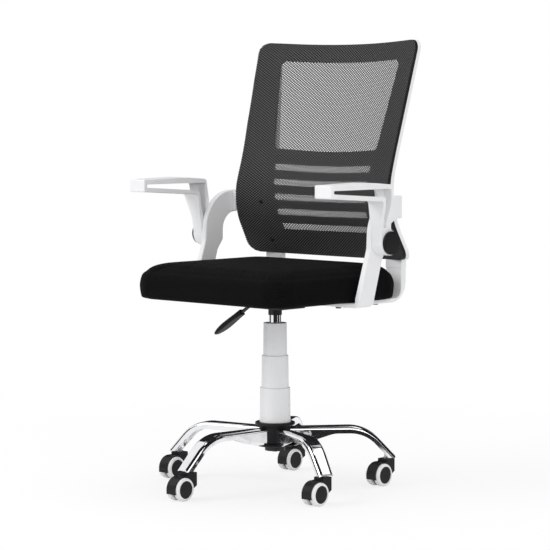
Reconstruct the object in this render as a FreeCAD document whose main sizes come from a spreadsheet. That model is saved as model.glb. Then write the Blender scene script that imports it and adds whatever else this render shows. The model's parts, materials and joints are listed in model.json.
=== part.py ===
import FreeCAD, Part
import math
import os
import types

import Sketcher
from FreeCAD import Placement, Rotation, Vector

# Office swivel chair: five-star base on twin-wheel casters, gas lift, padded seat, mesh back, flip-up arms.
# Millimetres and degrees. Origin on the floor under the column, Z up, the chair faces -Y, its left is +X.

DRIVING_SIZES = {
    # Fits and gaps shared by neighbouring pieces
    "running_gap": 0.05,
    "seat_gap": 0.3,
    "slide_gap": 0.4,
    # Casters: everything is measured from the stem's axis and the floor
    "leg_count": 5,
    "first_leg_angle": -94.9,
    "stem_circle": 259,
    "wheel_radius": 26,
    "wheel_trail": 27,
    "wheel_outer": 20,
    "wheel_inner": 4.4,
    "core_radius": 19.8,
    "core_cap": 2.4,
    "core_round": 2.5,
    "tyre_round": 4.5,
    "axle_radius": 3,
    "axle_end": 17,
    "web_half": 3.6,
    "hood_half": 13.5,
    "hood_radius": 28.6,
    "hood_clearance": 0.9,
    "hood_top": 61,
    "hood_rear": 13,
    "hood_rear_low": 31,
    "hood_plate_front": 15,
    "hood_front_low": 17,
    "hood_web_low": 13,
    "hood_web_run": 8,
    "hood_round": 2,
    "stem_radius": 5.5,
    "stem_depth": 14,
    "stem_rise": 16.5,
    "collar_radius": 8.5,
    "collar_height": 2,
    "stem_round": 1,
    # Legs: pressed channels, seen from the side and measured outwards from the column
    "leg_width": 40,
    "leg_root_width": 25,
    "leg_tip_width": 34,
    "leg_wide_at": 196,
    "leg_side_radius": 120,
    "leg_wall": 2.5,
    "leg_round": 9,
    "leg_top": 139,
    "leg_bend_at": 211.5,
    "leg_bend_radius": 100,
    "leg_slope": 47,
    "leg_tip": 277,
    "leg_tip_low": 63.6,
    "leg_tip_run": 16,
    "leg_side_depth": 17,
    "leg_lower_radius": 80,
    "leg_flare_at": 135,
    "leg_flare_radius": 60,
    "leg_root_at": 72,
    "socket_radius": 9,
    "socket_roof": 1,
    # Hub
    "hub_low": 95,
    "hub_waist": 36,
    "hub_low_flange": 43,
    "hub_high_flange": 46,
    "hub_flange": 6.5,
    "hub_headroom": 4.5,
    "hub_round": 2.5,
    # Gas lift
    "tube_low": 84,
    "tube_high": 296,
    "tube_radius": 25,
    "tube_taper": 1.5,
    "tube_wall": 2,
    "tube_floor": 4,
    "bush_length": 70,
    "bush_flange": 1.8,
    "rod_radius": 5,
    "rod_tail": 2,
    "clip_thickness": 1.4,
    "clip_radius": 9,
    "bearing_height": 7,
    "bearing_radius": 13,
    "rod_collar": 3,
    "rod_collar_radius": 9,
    "turned_round": 1,
    "piston_low": 216,
    "piston_height": 10,
    "cylinder_low": 205,
    "cylinder_high": 416,
    "cylinder_radius": 14,
    "cylinder_wall": 2,
    "cylinder_floor": 10,
    "cylinder_roof": 12,
    "pin_radius": 4,
    "pin_length": 20,
    # Telescopic column covers, largest at the bottom
    "cover_draft": 0.8,
    "cover_wall": 1.4,
    "cover_lip": 3,
    "low_cover_radius": 35.4,
    "low_cover_high": 229,
    "mid_cover_radius": 31.2,
    "mid_cover_high": 303,
    "top_cover_radius": 27.4,
    "top_cover_high": 378,
    "cover_roof": 2.5,
    # Swivel plate under the seat
    "plate_x": 200,
    "plate_y": 170,
    "plate_thickness": 3,
    "plate_corner": 16,
    "dish_x": 124,
    "dish_y": 96,
    "dish_low": 412,
    "dish_wall": 2.5,
    "dish_corner": 12,
    "dish_draft": 12,
    "cone_low": 396,
    "cone_radius": 15.7,
    "plate_bolt_x": 82,
    "plate_bolt_y": 66,
    # Height lever, a bent rod on a cross pin, with a paddle grip
    "lever_pivot_x": -38,
    "lever_height": 425,
    "lever_radius": 4,
    "lever_inner_end": 8,
    "lever_bend_x": -60,
    "lever_bend_radius": 14,
    "lever_slope": 33.5,
    "lever_length": 118,
    "lever_eye_radius": 7,
    "lever_eye_half": 5,
    "lever_pin_radius": 2.5,
    "lever_ear": 4,
    "lever_window_half": 7,
    "grip_start": 54,
    "grip_length": 100,
    "grip_root_width": 14,
    "grip_width": 24,
    "grip_thickness": 11,
    "grip_tip_thickness": 6,
    "grip_full_from": 30,
    "grip_full_to": 75,
    "grip_corner": 2.7,
    # Seat
    "seat_half": 238,
    "seat_front": -246,
    "seat_rear": 190,
    "seat_low": 436,
    "seat_corner": 80,
    "seat_tuck_high": 445.5,
    "seat_waist_high": 465,
    "seat_shoulder_high": 485.5,
    "seat_edge_high": 494,
    "seat_dome_low": 506,
    "seat_dome_high": 514.5,
    "seat_crown": 518,
    "seat_foot_inset": 14,
    "seat_tuck_inset": 5,
    "seat_shoulder_inset": 3,
    "seat_edge_inset": 10,
    "seat_dome_low_inset": 36,
    "seat_dome_high_inset": 86,
    "seat_crown_inset": 150,
    "seat_corner_share": 0.4,
    "board_inset": 16,
    "board_thickness": 12,
    "bolt_radius": 3,
    "bolt_head_radius": 6.5,
    "bolt_head": 4,
    "bolt_reach": 9,
    "bolt_head_round": 1,
    # Side supports, from a foot under the seat up to the back
    "support_inner": 249.6,
    "support_outer": 264,
    "foot_low": 426,
    "foot_inner": 150,
    "foot_front": -10,
    "foot_rear": 42,
    "foot_bend_high": 446,
    "foot_bend_radius": 19,
    "foot_bend_inside": 5,
    "foot_bolt_x": 190,
    "foot_bolt_pitch": 24,
    "support_knee_y": 27,
    "support_knee_z": 556,
    "support_top": 672,
    "support_top_y": 33,
    "support_bow_radius": 88,
    "support_end": 136,
    "support_end_low": 621,
    "support_rear_y": 86,
    "support_hollow_radius": 42,
    "support_waist_y": 68,
    "support_waist_z": 532,
    "support_round": 3,
    "support_knee_radius": 20,
    "support_waist_radius": 15,
    "support_rear_radius": 12,
    # Arm pivot
    "pivot_y": 58,
    "pivot_z": 570,
    "pivot_radius": 6,
    "pivot_depth": 12,
    "boss_radius": 28,
    "boss_outer": 294.5,
    "cap_radius": 26,
    "cap_thickness": 7,
    "cap_round": 2,
    # Armrests
    "arm_inner": 264.5,
    "arm_outer": 313,
    "arm_front": -159,
    "arm_nose_low": 673.5,
    "arm_nose_high": 702.5,
    "arm_crown_y": -25,
    "arm_crown_high": 705.5,
    "arm_rear_y": 45,
    "arm_rear_high": 700,
    "arm_rear_round": 9,
    "arm_elbow_y": 16,
    "arm_elbow_z": 663,
    "arm_shin_y": 26,
    "arm_shin_z": 598,
    "arm_heel_y": 62,
    "arm_heel_z": 602,
    "arm_web": 5,
    "arm_core_front": -150,
    "arm_core_front_low": 683.8,
    "arm_core_high": 691,
    "arm_core_elbow_y": 21,
    "arm_core_elbow_z": 672.8,
    "arm_core_toe_front": 34,
    "arm_core_toe_rear": 43,
    "arm_core_toe_z": 604,
    "arm_core_rear": 39.5,
    "arm_window_rear_high": 11,
    "arm_window_rear_low": 17,
    "arm_taper_high": 662,
    "arm_taper_rise": 10,
    "arm_round": 2,
    "arm_nose_radius": 3,
    "arm_elbow_radius": 8,
    "arm_heel_radius": 10,
    "arm_crown_radius": 400,
    "arm_core_front_radius": 2,
    "arm_core_elbow_radius": 6,
    "arm_core_toe_radius": 3,
    "arm_core_rear_radius": 3,
    "arm_window_radius": 3,
    "arm_taper_high_radius": 90,
    "arm_taper_low_radius": 60,
    # Back: a bent sheet, swept about an upright axis in front of the chair
    "bend_axis": 460,
    "back_top_y": 253.5,
    "back_top_z": 1030,
    "back_knee_y": 149.8,
    "back_knee_z": 649.7,
    "back_low_y": 228,
    "back_low_z": 505,
    "lumbar_radius": 169,
    "bend_sweep": 60,
    "mesh_thickness": 1.4,
    "panel_thickness": 7.5,
    "frame_thickness": 9.5,
    "back_top_half": 245,
    "back_top_edge": 1024,
    "back_top_dip": 12,
    "back_waist_half": 233,
    "back_waist_z": 740,
    "back_low_half": 244,
    "back_low_edge": 523,
    "back_low_dip": 6.5,
    "back_corner": 26,
    "back_side_radius": 900,
    "arch_share": 1.6,
    "window_top_half": 188,
    "window_top_edge": 979,
    "window_top_dip": 9,
    "window_low_half": 162,
    "window_low_edge": 772,
    "window_low_dip": 10,
    "window_corner": 14,
    "slot_count": 5,
    "slot_half": 152,
    "slot_step_in": 3,
    "slot_first": 736,
    "slot_pitch": 35.3,
    "slot_height": 14.5,
    "slot_smile": 7,
    "slot_corner": 5,
    "frame_margin": 6,
    "lug_inner": 222,
    "lug_front": 117,
    "lug_edge": 237.8,
    "lug_half": 23,
    # Back legs, J-shaped, from the back's lower edge to the seat's underside
    "back_leg_inner": 165,
    "back_leg_outer": 212,
    "back_leg_front": 195.5,
    "back_leg_rear": 212.5,
    "back_leg_high": 503,
    "back_leg_end": 75,
    "back_leg_radius": 48,
    "back_leg_hollow": 20,
    "back_leg_round": 2.5,
    "back_leg_bolt_x": 188.5,
    "back_leg_bolt_y": 96,
    "back_leg_bolt_pitch": 36,
    "back_foot_high": 530,
}


# Distance under which a point counts as lying on a face, and the turn in radians that makes an edge sharp
TOUCH = 0.01
SHARP = 0.5
# Share of a leg's depth, from its top downwards, within which its long top edges lie
TOP_SHARE = 0.7


class Size:
    """A length or angle that carries both its number and the sheet formula that gives it."""

    def __init__(self, value, formula):
        self.value = float(value)
        self.formula = formula

    @staticmethod
    def of(thing):
        return thing if isinstance(thing, Size) else Size(thing, "(%r)" % float(thing))

    def joined(self, other, sign, value):
        return Size(value, "(%s %s %s)" % (self.formula, sign, other.formula))

    def __add__(self, other):
        other = Size.of(other)
        return self.joined(other, "+", self.value + other.value)

    def __sub__(self, other):
        other = Size.of(other)
        return self.joined(other, "-", self.value - other.value)

    def __mul__(self, other):
        other = Size.of(other)
        return self.joined(other, "*", self.value * other.value)

    def __truediv__(self, other):
        other = Size.of(other)
        return self.joined(other, "/", self.value / other.value)

    def __radd__(self, other):
        return Size.of(other) + self

    def __rsub__(self, other):
        return Size.of(other) - self

    def __rmul__(self, other):
        return Size.of(other) * self

    def __rtruediv__(self, other):
        return Size.of(other) / self

    def __neg__(self):
        return Size.of(0) - self


def sine(angle):
    return Size(math.sin(math.radians(angle.value)), "sin(%s)" % angle.formula)


def cosine(angle):
    return Size(math.cos(math.radians(angle.value)), "cos(%s)" % angle.formula)


def tangent(angle):
    return Size(math.tan(math.radians(angle.value)), "tan(%s)" % angle.formula)


def arc_tangent(ratio):
    return Size(math.degrees(math.atan(ratio.value)), "(atan(%s) / 1 deg)" % ratio.formula)


doc = FreeCAD.newDocument("office_chair")
sheet = doc.addObject("Spreadsheet::Sheet", "Sizes")
for row, (alias, number) in enumerate(DRIVING_SIZES.items(), start=1):
    sheet.set("A%d" % row, str(number))
    sheet.setAlias("A%d" % row, alias)
doc.recompute()
s = types.SimpleNamespace(**{alias: Size(sheet.get(alias), "Sizes." + alias) for alias in DRIVING_SIZES})
parts = []


# Helpers that draw bound sketches and add features

def bind(thing, prop, size):
    size = Size.of(size)
    thing.setExpression(prop, size.formula)


def new_body(name):
    return doc.addObject("PartDesign::Body", name)


def new_sketch(body, plane, offset=0):
    origin = [each for each in body.Origin.OriginFeatures if each.Role == plane][0]
    sketch = body.newObject("Sketcher::SketchObject", "Sketch")
    sketch.AttachmentSupport = [(origin, "")]
    sketch.MapMode = "FlatFace"
    bind(sketch, "AttachmentOffset.Base.z", offset)
    return sketch


def fix(sketch, constraint, size):
    """Adds a dimension to a sketch and binds it to its formula."""
    index = sketch.addConstraint(constraint)
    name = "size%d" % index
    sketch.renameConstraint(index, name)
    bind(sketch, "Constraints." + name, size)


def fix_point(sketch, geometry, end, corner):
    fix(sketch, Sketcher.Constraint("DistanceX", geometry, end, corner[0].value), corner[0])
    fix(sketch, Sketcher.Constraint("DistanceY", geometry, end, corner[1].value), corner[1])


def draw(sketch, corners, closed=True):
    """Draws straight runs through corners (x, y) or (x, y, radius), with tangent arcs at rounded ones."""
    corners = [tuple(Size.of(each) for each in corner) for corner in corners]
    count = len(corners)
    spots = [Vector(corner[0].value, corner[1].value, 0) for corner in corners]
    rounded = [len(corner) == 3 for corner in corners]
    if not closed:
        rounded[0] = rounded[-1] = False
    entries = list(spots)
    exits = list(spots)
    arcs = {}
    for at in range(count):
        if not rounded[at]:
            continue
        back = (spots[at - 1] - spots[at]).normalize()
        ahead = (spots[(at + 1) % count] - spots[at]).normalize()
        radius = corners[at][2].value
        half = back.getAngle(ahead) / 2
        entries[at] = spots[at] + back * (radius / math.tan(half))
        exits[at] = spots[at] + ahead * (radius / math.tan(half))
        centre = spots[at] + (back + ahead).normalize() * (radius / math.sin(half))
        left_turn = back.cross(ahead).z < 0
        first, last = (entries[at], exits[at]) if left_turn else (exits[at], entries[at])
        start = math.atan2(first.y - centre.y, first.x - centre.x)
        stop = math.atan2(last.y - centre.y, last.x - centre.x)
        arcs[at] = (Part.ArcOfCircle(Part.Circle(centre, Vector(0, 0, 1), radius), start, stop), left_turn)
    base = sketch.GeometryCount
    runs = count if closed else count - 1
    for at in range(runs):
        sketch.addGeometry(Part.LineSegment(exits[at], entries[(at + 1) % count]), False)
    for at in range(count):
        before = base + (at - 1) % count
        after = base + at
        if at in arcs:
            arc, left_turn = arcs[at]
            arc_index = sketch.addGeometry(arc, False)
            arc_start, arc_stop = (1, 2) if left_turn else (2, 1)
            sketch.addConstraint(Sketcher.Constraint("Tangent", before, 2, arc_index, arc_start))
            sketch.addConstraint(Sketcher.Constraint("Tangent", arc_index, arc_stop, after, 1))
            fix(sketch, Sketcher.Constraint("Radius", arc_index, corners[at][2].value), corners[at][2])
            mark = sketch.addGeometry(Part.Point(spots[at]), True)
            sketch.addConstraint(Sketcher.Constraint("PointOnObject", mark, 1, before))
            sketch.addConstraint(Sketcher.Constraint("PointOnObject", mark, 1, after))
            fix_point(sketch, mark, 1, corners[at])
        elif closed or 0 < at < count - 1:
            sketch.addConstraint(Sketcher.Constraint("Coincident", before, 2, after, 1))
            fix_point(sketch, after, 1, corners[at])
        elif at == 0:
            fix_point(sketch, after, 1, corners[at])
        else:
            fix_point(sketch, before, 2, corners[at])
    return sketch


def draw_circle(sketch, x, y, radius):
    x, y, radius = Size.of(x), Size.of(y), Size.of(radius)
    circle = Part.Circle(Vector(x.value, y.value, 0), Vector(0, 0, 1), radius.value)
    index = sketch.addGeometry(circle, False)
    fix_point(sketch, index, 3, (x, y))
    fix(sketch, Sketcher.Constraint("Radius", index, radius.value), radius)
    return sketch


def rounded_rectangle(low_x, high_x, low_y, high_y, corner):
    return [
        (low_x, low_y, corner), (high_x, low_y, corner),
        (high_x, high_y, corner), (low_x, high_y, corner),
    ]


def pad(body, sketch, length, symmetric=False, backwards=False):
    feature = body.newObject("PartDesign::Pad", "Pad")
    feature.Profile = sketch
    bind(feature, "Length", length)
    feature.SideType = "Symmetric" if symmetric else "One side"
    feature.Reversed = backwards
    return feature


def pocket(body, sketch, length=None, backwards=False):
    """Cuts along the sketch's normal, backwards or forwards, by a length or right through both ways."""
    feature = body.newObject("PartDesign::Pocket", "Pocket")
    feature.Profile = sketch
    if length is None:
        feature.Type = "ThroughAll"
        feature.SideType = "Symmetric"
    else:
        bind(feature, "Length", length)
        feature.Reversed = not backwards
    return feature


def revolve(body, sketch, axis="V_Axis"):
    feature = body.newObject("PartDesign::Revolution", "Revolution")
    feature.Profile = sketch
    feature.ReferenceAxis = (sketch, [axis])
    feature.Angle = 360
    return feature


def turned(name, corners):
    """A body turned about the upright axis from its half section, with x as the radius."""
    body = new_body(name)
    revolve(body, draw(new_sketch(body, "XZ_Plane"), corners))
    return body


def is_sharp(shape, edge, point):
    """Whether the two faces at an edge turn by more than a shallow angle at a point of it."""
    normals = []
    for face in shape.ancestorsOfType(edge, Part.Face):
        normals.append(face.normalAt(*face.Surface.parameter(point)))
    return len(normals) == 2 and normals[0].getAngle(normals[1]) > SHARP


def fillet(body, radius, wanted):
    """Rounds those sharp edges of a body whose middle point is wanted."""
    doc.recompute()
    base = body.Tip
    shape = base.Shape
    names = []
    for index, edge in enumerate(shape.Edges, start=1):
        middle = edge.valueAt((edge.FirstParameter + edge.LastParameter) / 2)
        if wanted(middle) and is_sharp(shape, edge, middle):
            names.append("Edge%d" % index)
    feature = body.newObject("PartDesign::Fillet", "Fillet")
    feature.Base = (base, names)
    bind(feature, "Radius", radius)
    return feature


def combine(kind, name, base, tool):
    feature = doc.addObject("Part::" + kind, name)
    feature.Base = base
    feature.Tool = tool
    return feature


def box(name, low, high):
    feature = doc.addObject("Part::Box", name)
    low = [Size.of(each) for each in low]
    high = [Size.of(each) for each in high]
    for prop, start, end in zip(("Length", "Width", "Height"), low, high):
        bind(feature, prop, end - start)
    for axis, start in zip("xyz", low):
        bind(feature, "Placement.Base." + axis, start)
    return feature


def cylinder(name, radius, low, high, x=0, y=0):
    feature = doc.addObject("Part::Cylinder", name)
    bind(feature, "Radius", radius)
    bind(feature, "Height", Size.of(high) - low)
    place(feature, x, y, low)
    return feature


def mirrored(name, source):
    feature = doc.addObject("Part::Mirroring", name)
    feature.Source = source
    feature.Base = Vector(0, 0, 0)
    feature.Normal = Vector(1, 0, 0)
    return feature


def group(name, members):
    feature = doc.addObject("Part::Compound", name)
    feature.Links = members
    return feature


def copied(name, template):
    """A copy of a finished piece, to be placed by itself."""
    return group(name, [template])


def place(thing, x, y, z):
    for axis, size in zip("xyz", (x, y, z)):
        bind(thing, "Placement.Base." + axis, size)
    return thing


def turn(thing, axis, angle):
    thing.Placement = Placement(thing.Placement.Base, Rotation(axis, 1))
    bind(thing, "Placement.Rotation.Angle", angle)
    return thing


def finish(thing, label):
    thing.Label = label
    parts.append(thing)
    return thing


def pair(make, label):
    """Makes a left piece and its mirror image on the right."""
    left = finish(make(label + "_left"), label + "_left")
    finish(mirrored(label + "_right", left), label + "_right")


# Casters

def leg_numbers():
    return range(1, int(s.leg_count.value) + 1)


def leg_angle(number):
    return s.first_leg_angle + 360 / s.leg_count * (number - 1)


def make_hood(name):
    body = new_body(name)
    axle_y = -s.wheel_trail
    shell_top = s.wheel_radius + s.hood_radius
    shell_front = axle_y - s.hood_radius
    side = new_sketch(body, "YZ_Plane")
    draw(side, [
        (s.hood_rear, s.hood_rear_low),
        (s.hood_rear, s.hood_top, s.hood_round),
        (-s.hood_plate_front, s.hood_top, s.hood_round),
        (-s.hood_plate_front, shell_top),
        (shell_front, shell_top, s.hood_radius),
        (shell_front, s.hood_front_low),
        (axle_y - s.hood_web_run, s.hood_web_low),
        (axle_y + s.hood_web_run, s.hood_web_low),
    ])
    pad(body, side, 2 * s.hood_half, symmetric=True)
    for side_sign in (1, -1):
        arch = new_sketch(body, "YZ_Plane", s.web_half * side_sign)
        draw_circle(arch, axle_y, s.wheel_radius, s.wheel_radius + s.hood_clearance)
        pocket(body, arch, s.hood_half, backwards=side_sign < 0)
    axle_hole = new_sketch(body, "YZ_Plane")
    draw_circle(axle_hole, axle_y, s.wheel_radius, s.axle_radius + s.running_gap)
    pocket(body, axle_hole)
    stem_hole = new_sketch(body, "XY_Plane", s.hood_top)
    draw_circle(stem_hole, 0, 0, s.stem_radius + s.running_gap)
    pocket(body, stem_hole, s.stem_depth, backwards=True)
    return body


def make_stem(name):
    low = s.hood_top - s.stem_depth
    collar = s.hood_top + s.collar_height
    high = s.hood_top + s.stem_rise
    return turned(name, [
        (0, low), (s.stem_radius, low), (s.stem_radius, s.hood_top), (s.collar_radius, s.hood_top),
        (s.collar_radius, collar), (s.stem_radius, collar), (s.stem_radius, high, s.stem_round), (0, high),
    ])


def make_wheel_pair(name, corners):
    """Two equal pieces turned about the axle, with x along the axle and y as the radius."""
    body = new_body(name + "_near")
    revolve(body, draw(new_sketch(body, "XZ_Plane"), corners), "H_Axis")
    return group(name, [body, mirrored(name + "_far", body)])


def core_section():
    bore = s.axle_radius + s.running_gap
    blind = s.axle_end + s.seat_gap
    face = blind + s.core_cap
    return [
        (s.wheel_inner, bore), (blind, bore), (blind, 0), (face, 0),
        (face, s.core_radius, s.core_round), (s.wheel_inner, s.core_radius),
    ]


def tyre_section():
    inside = s.core_radius + s.running_gap
    return [
        (s.wheel_inner, inside), (s.wheel_outer, inside),
        (s.wheel_outer, s.wheel_radius, s.tyre_round), (s.wheel_inner, s.wheel_radius, s.tyre_round),
    ]


def make_axle(name):
    axle = cylinder(name, s.axle_radius, 0, 2 * s.axle_end)
    return turn(axle, Vector(0, 1, 0), 90)


def make_casters():
    """One caster drawn about its stem, copied to the tip of each leg."""
    templates = {
        "hood": make_hood("hood_body"), "stem": make_stem("stem_body"), "axle": make_axle("axle_body"),
        "wheels": make_wheel_pair("core", core_section()), "tyres": make_wheel_pair("tyre", tyre_section()),
    }
    offsets = {"axle": (-s.axle_end, -s.wheel_trail, s.wheel_radius)}
    for piece in ("wheels", "tyres"):
        offsets[piece] = (Size.of(0), -s.wheel_trail, s.wheel_radius)
    for number in leg_numbers():
        angle = leg_angle(number)
        for piece, template in templates.items():
            x, y, z = offsets.get(piece, (Size.of(0), Size.of(0), Size.of(0)))
            label = "caster_%d_%s" % (number, piece)
            stem_x = s.stem_circle * cosine(angle)
            stem_y = s.stem_circle * sine(angle)
            finish(place(copied(label, template), stem_x + x, stem_y + y, z), label)


# Base: legs and hub

def leg_outline(inset):
    """Top edge of a leg's side view, moved inwards by an inset: root, bend and tip corners."""
    top = s.leg_top - inset
    bend_x = s.leg_bend_at - inset * tangent(s.leg_slope / 2)
    tip_z = top - (s.leg_tip - bend_x) * tangent(s.leg_slope)
    return top, bend_x, tip_z


def cut_leg_plan(body, inset):
    """Trims a leg to its plan: narrow at the hub, widest at the bend and drawn in at the tip."""
    root = s.leg_root_width / 2 - inset
    wide = s.leg_width / 2 - inset
    tip = s.leg_tip_width / 2 - inset
    far = s.leg_tip + 2 * s.leg_tip_run
    beyond = far + s.leg_tip_run
    plan = new_sketch(body, "XY_Plane")
    draw(plan, [(-far, -far), (beyond, -far), (beyond, far), (-far, far)])
    draw(plan, [
        (0, -root), (s.leg_wide_at, -wide, s.leg_side_radius), (far, -tip),
        (far, tip), (s.leg_wide_at, wide, s.leg_side_radius), (0, root),
    ])
    pocket(body, plan)


def round_long_edges(body, radius, inset):
    """Rounds the two long edges along the top of a leg's blank or core."""
    top, bend_x, tip_z = leg_outline(inset)
    slope = (top.value - tip_z.value) / (s.leg_tip.value - bend_x.value)
    away = s.leg_root_width.value / 4

    def along_top(point):
        fall = max(0, point.x - bend_x.value) * slope
        floor = top.value - s.leg_side_depth.value * TOP_SHARE - fall
        return abs(point.y) > away and point.z > floor and point.x < s.leg_tip.value - TOUCH

    fillet(body, radius, along_top)


def make_leg_blank(name):
    body = new_body(name)
    top, bend_x, tip_z = leg_outline(Size.of(0))
    low = s.leg_top - s.leg_side_depth
    low_bend_x = s.leg_tip - s.leg_tip_run - (low - s.leg_tip_low) / tangent(s.leg_slope)
    root = s.hub_waist / 2
    root_low = s.hub_low + s.hub_flange + s.seat_gap
    side = draw(new_sketch(body, "XZ_Plane"), [
        (root, top), (root, root_low), (s.leg_root_at, root_low, s.leg_flare_radius / 2),
        (s.leg_flare_at, low, s.leg_flare_radius), (low_bend_x, low, s.leg_lower_radius),
        (s.leg_tip - s.leg_tip_run, s.leg_tip_low), (s.leg_tip, s.leg_tip_low), (s.leg_tip, tip_z),
        (bend_x, top, s.leg_bend_radius),
    ])
    pad(body, side, s.leg_width, symmetric=True)
    cut_leg_plan(body, Size.of(0))
    round_long_edges(body, s.leg_round, Size.of(0))
    return body


def make_leg_core(name):
    body = new_body(name)
    top, bend_x, tip_z = leg_outline(s.leg_wall)
    past_tip = s.leg_tip + s.leg_tip_run
    past_z = tip_z - s.leg_tip_run * tangent(s.leg_slope)
    side = draw(new_sketch(body, "XZ_Plane"), [
        (0, top), (0, 0), (past_tip, 0), (past_tip, past_z), (bend_x, top, s.leg_bend_radius - s.leg_wall),
    ])
    pad(body, side, s.leg_width, symmetric=True)
    cut_leg_plan(body, s.leg_wall)
    round_long_edges(body, s.leg_round - s.leg_wall, s.leg_wall)
    return body


def make_legs():
    """One pressed leg along X with a welded caster socket, copied round the column."""
    blank = make_leg_blank("leg_blank")
    channel = combine("Cut", "leg_channel", blank, make_leg_core("leg_core"))
    bore_high = s.hood_top + s.stem_rise + s.socket_roof
    post = cylinder("leg_post", s.socket_radius, s.leg_tip_low, s.leg_top, s.stem_circle)
    socket = combine("Common", "leg_socket", blank, post)
    welded = combine("Fuse", "leg_welded", channel, socket)
    bore = cylinder("leg_bore", s.stem_radius + s.running_gap, 0, bore_high, s.stem_circle)
    bored = combine("Cut", "leg_bored", welded, bore)
    hub_space = cylinder("leg_hub_space", s.hub_waist + s.seat_gap, 0, 2 * s.leg_top)
    leg = combine("Cut", "leg_whole", bored, hub_space)
    for number in leg_numbers():
        label = "leg_%d" % number
        finish(turn(copied(label, leg), Vector(0, 0, 1), leg_angle(number)), label)


def hub_high():
    return s.leg_top + s.hub_headroom + s.hub_flange


def tube_outside(height):
    """Outer radius of the lift's tube at a height within the hub, where it tapers."""
    share = (hub_high() - height) / (hub_high() - s.tube_low)
    return s.tube_radius - s.tube_taper * share


def make_hub():
    low_face = s.hub_low + s.hub_flange
    high_face = hub_high() - s.hub_flange
    finish(turned("hub_body", [
        (tube_outside(s.hub_low) + s.running_gap, s.hub_low),
        (s.hub_low_flange, s.hub_low, s.hub_round), (s.hub_low_flange, low_face, s.hub_round),
        (s.hub_waist, low_face), (s.hub_waist, high_face, s.hub_round),
        (s.hub_high_flange, high_face, s.hub_round), (s.hub_high_flange, hub_high(), s.hub_round),
        (s.tube_radius + s.running_gap, hub_high()),
    ]), "hub")


# Gas lift and its covers

def make_lift():
    floor = s.tube_low + s.tube_floor
    rod_hole = s.rod_radius + s.running_gap
    bore = s.tube_radius - s.tube_wall
    finish(turned("lift_tube_body", [
        (rod_hole, s.tube_low), (tube_outside(s.tube_low), s.tube_low), (s.tube_radius, hub_high()),
        (s.tube_radius, s.tube_high), (bore, s.tube_high), (bore, hub_high()),
        (tube_outside(floor) - s.tube_wall, floor), (rod_hole, floor),
    ]), "lift_tube")
    bush_bore = s.cylinder_radius + s.running_gap
    flange_high = s.tube_high + s.bush_flange
    finish(turned("lift_bush_body", [
        (bush_bore, s.tube_high - s.bush_length), (bore - s.running_gap, s.tube_high - s.bush_length),
        (bore - s.running_gap, s.tube_high), (s.tube_radius, s.tube_high),
        (s.tube_radius, flange_high, s.turned_round), (bush_bore, flange_high),
    ]), "lift_bush")
    bearing_high = floor + s.bearing_height
    finish(turned("lift_bearing_body", [
        (rod_hole, floor), (s.bearing_radius, floor, s.turned_round),
        (s.bearing_radius, bearing_high, s.turned_round), (rod_hole, bearing_high),
    ]), "lift_bearing")
    clip_high = s.tube_low - s.seat_gap
    clip_low = clip_high - s.clip_thickness
    finish(turned("lift_clip_body", [
        (rod_hole, clip_low), (s.clip_radius, clip_low), (s.clip_radius, clip_high), (rod_hole, clip_high),
    ]), "lift_clip")
    piston = s.cylinder_radius - s.cylinder_wall - s.running_gap
    collar_high = bearing_high + s.rod_collar
    piston_high = s.piston_low + s.piston_height
    finish(turned("lift_rod_body", [
        (0, clip_low - s.rod_tail), (s.rod_radius, clip_low - s.rod_tail), (s.rod_radius, bearing_high),
        (s.rod_collar_radius, bearing_high), (s.rod_collar_radius, collar_high), (s.rod_radius, collar_high),
        (s.rod_radius, s.piston_low), (piston, s.piston_low), (piston, piston_high), (0, piston_high),
    ]), "lift_rod")
    cavity = s.cylinder_radius - s.cylinder_wall
    pin_hole = s.pin_radius + s.running_gap
    finish(turned("lift_cylinder_body", [
        (rod_hole, s.cylinder_low), (s.cylinder_radius, s.cylinder_low, s.turned_round),
        (s.cylinder_radius, s.cylinder_high, s.turned_round), (pin_hole, s.cylinder_high),
        (pin_hole, s.cylinder_high - s.cylinder_roof), (cavity, s.cylinder_high - s.cylinder_roof),
        (cavity, s.cylinder_low + s.cylinder_floor), (rod_hole, s.cylinder_low + s.cylinder_floor),
    ]), "lift_cylinder")
    pin_high = s.lever_height - s.lever_radius - s.seat_gap
    finish(cylinder("release_pin_body", s.pin_radius, pin_high - s.pin_length, pin_high), "release_pin")


def cover_section(low, high, radius, foot_radius, mouth_radius, roof):
    """Half section of a drafted sleeve with a foot lip outside and a mouth lip inside."""
    top_radius = radius - s.cover_draft
    lip_high = low + s.cover_lip
    return [
        (radius - s.cover_wall, low), (foot_radius, low), (foot_radius, lip_high), (radius, lip_high),
        (top_radius, high, s.cover_wall / 2), (mouth_radius, high), (mouth_radius, high - roof),
        (top_radius - s.cover_wall, high - roof),
    ]


def make_covers():
    low_start = hub_high() + s.seat_gap
    mid_start = s.low_cover_high - 2 * s.cover_lip - s.seat_gap
    top_start = s.mid_cover_high - 2 * s.cover_lip - s.seat_gap
    low_inside = s.low_cover_radius - s.cover_draft - s.cover_wall
    mid_inside = s.mid_cover_radius - s.cover_draft - s.cover_wall
    covers = {
        "cover_lower": (low_start, s.low_cover_high, s.low_cover_radius, s.low_cover_radius + s.slide_gap,
                        s.mid_cover_radius + s.slide_gap, s.cover_lip),
        "cover_middle": (mid_start, s.mid_cover_high, s.mid_cover_radius, low_inside - s.slide_gap,
                         s.top_cover_radius + s.slide_gap, s.cover_lip),
        "cover_upper": (top_start, s.top_cover_high, s.top_cover_radius, mid_inside - s.slide_gap,
                        s.cylinder_radius + s.slide_gap, s.cover_roof),
    }
    for label, section in covers.items():
        finish(turned(label + "_body", cover_section(*section)), label)


# Swivel plate and height lever

def plate_bolt_places():
    return [(sx * s.plate_bolt_x, sy * s.plate_bolt_y) for sx in (1, -1) for sy in (1, -1)]


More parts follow.
